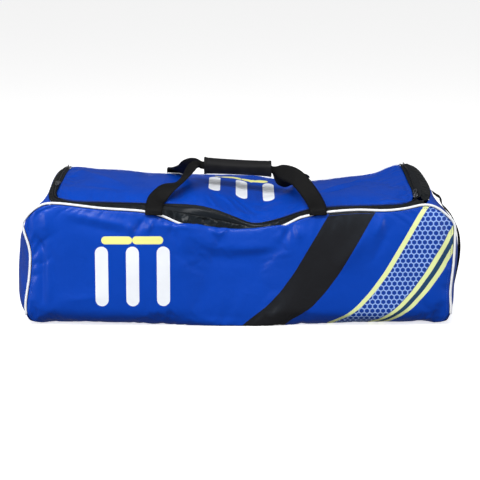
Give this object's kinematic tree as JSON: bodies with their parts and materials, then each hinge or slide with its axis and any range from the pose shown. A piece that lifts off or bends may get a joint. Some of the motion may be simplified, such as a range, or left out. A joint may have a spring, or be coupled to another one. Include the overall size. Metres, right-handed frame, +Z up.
{
  "type": "cricket kit bag",
  "caption": "Long padded sports kit bag with a zipped lid, piped seams, two webbing loops joined by a padded grip, and a grab handle at one end.",
  "frame": {"origin": "middle of the bag's bounding box, on the ground under the base", "axes": "+X along the bag towards the end with the grab handle, -Y out of the printed front face, +Z up"},
  "size_m": [0.9534, 0.3366, 0.3306],
  "materials": {
    "blue_cloth": "coated polyester, semi-gloss",
    "base_cloth": "coated polyester, semi-gloss",
    "black_cloth": "coated polyester, matte",
    "zip_tape": "woven tape with a nylon coil",
    "piping": "white vinyl piping",
    "webbing": "woven webbing",
    "grip_cloth": "padded cloth",
    "slider_metal": "satin"
  },
  "bodies": {
    "root": {"front_panel": "blue_cloth", "back_panel": "blue_cloth", "base_panel": "base_cloth", "left_end_panel": "blue_cloth", "right_end_panel": "blue_cloth", "lid_panel": "blue_cloth", "top_gusset": "black_cloth", "zip_tape": "zip_tape", "piping_front": "piping", "piping_back": "piping", "front_handle_strap": "webbing", "rear_handle_strap": "webbing", "grip_wrap": "grip_cloth", "right_end_handle": "webbing", "zip_slider_left": "slider_metal", "zip_slider_right": "slider_metal"}
  },
  "joints": []
}
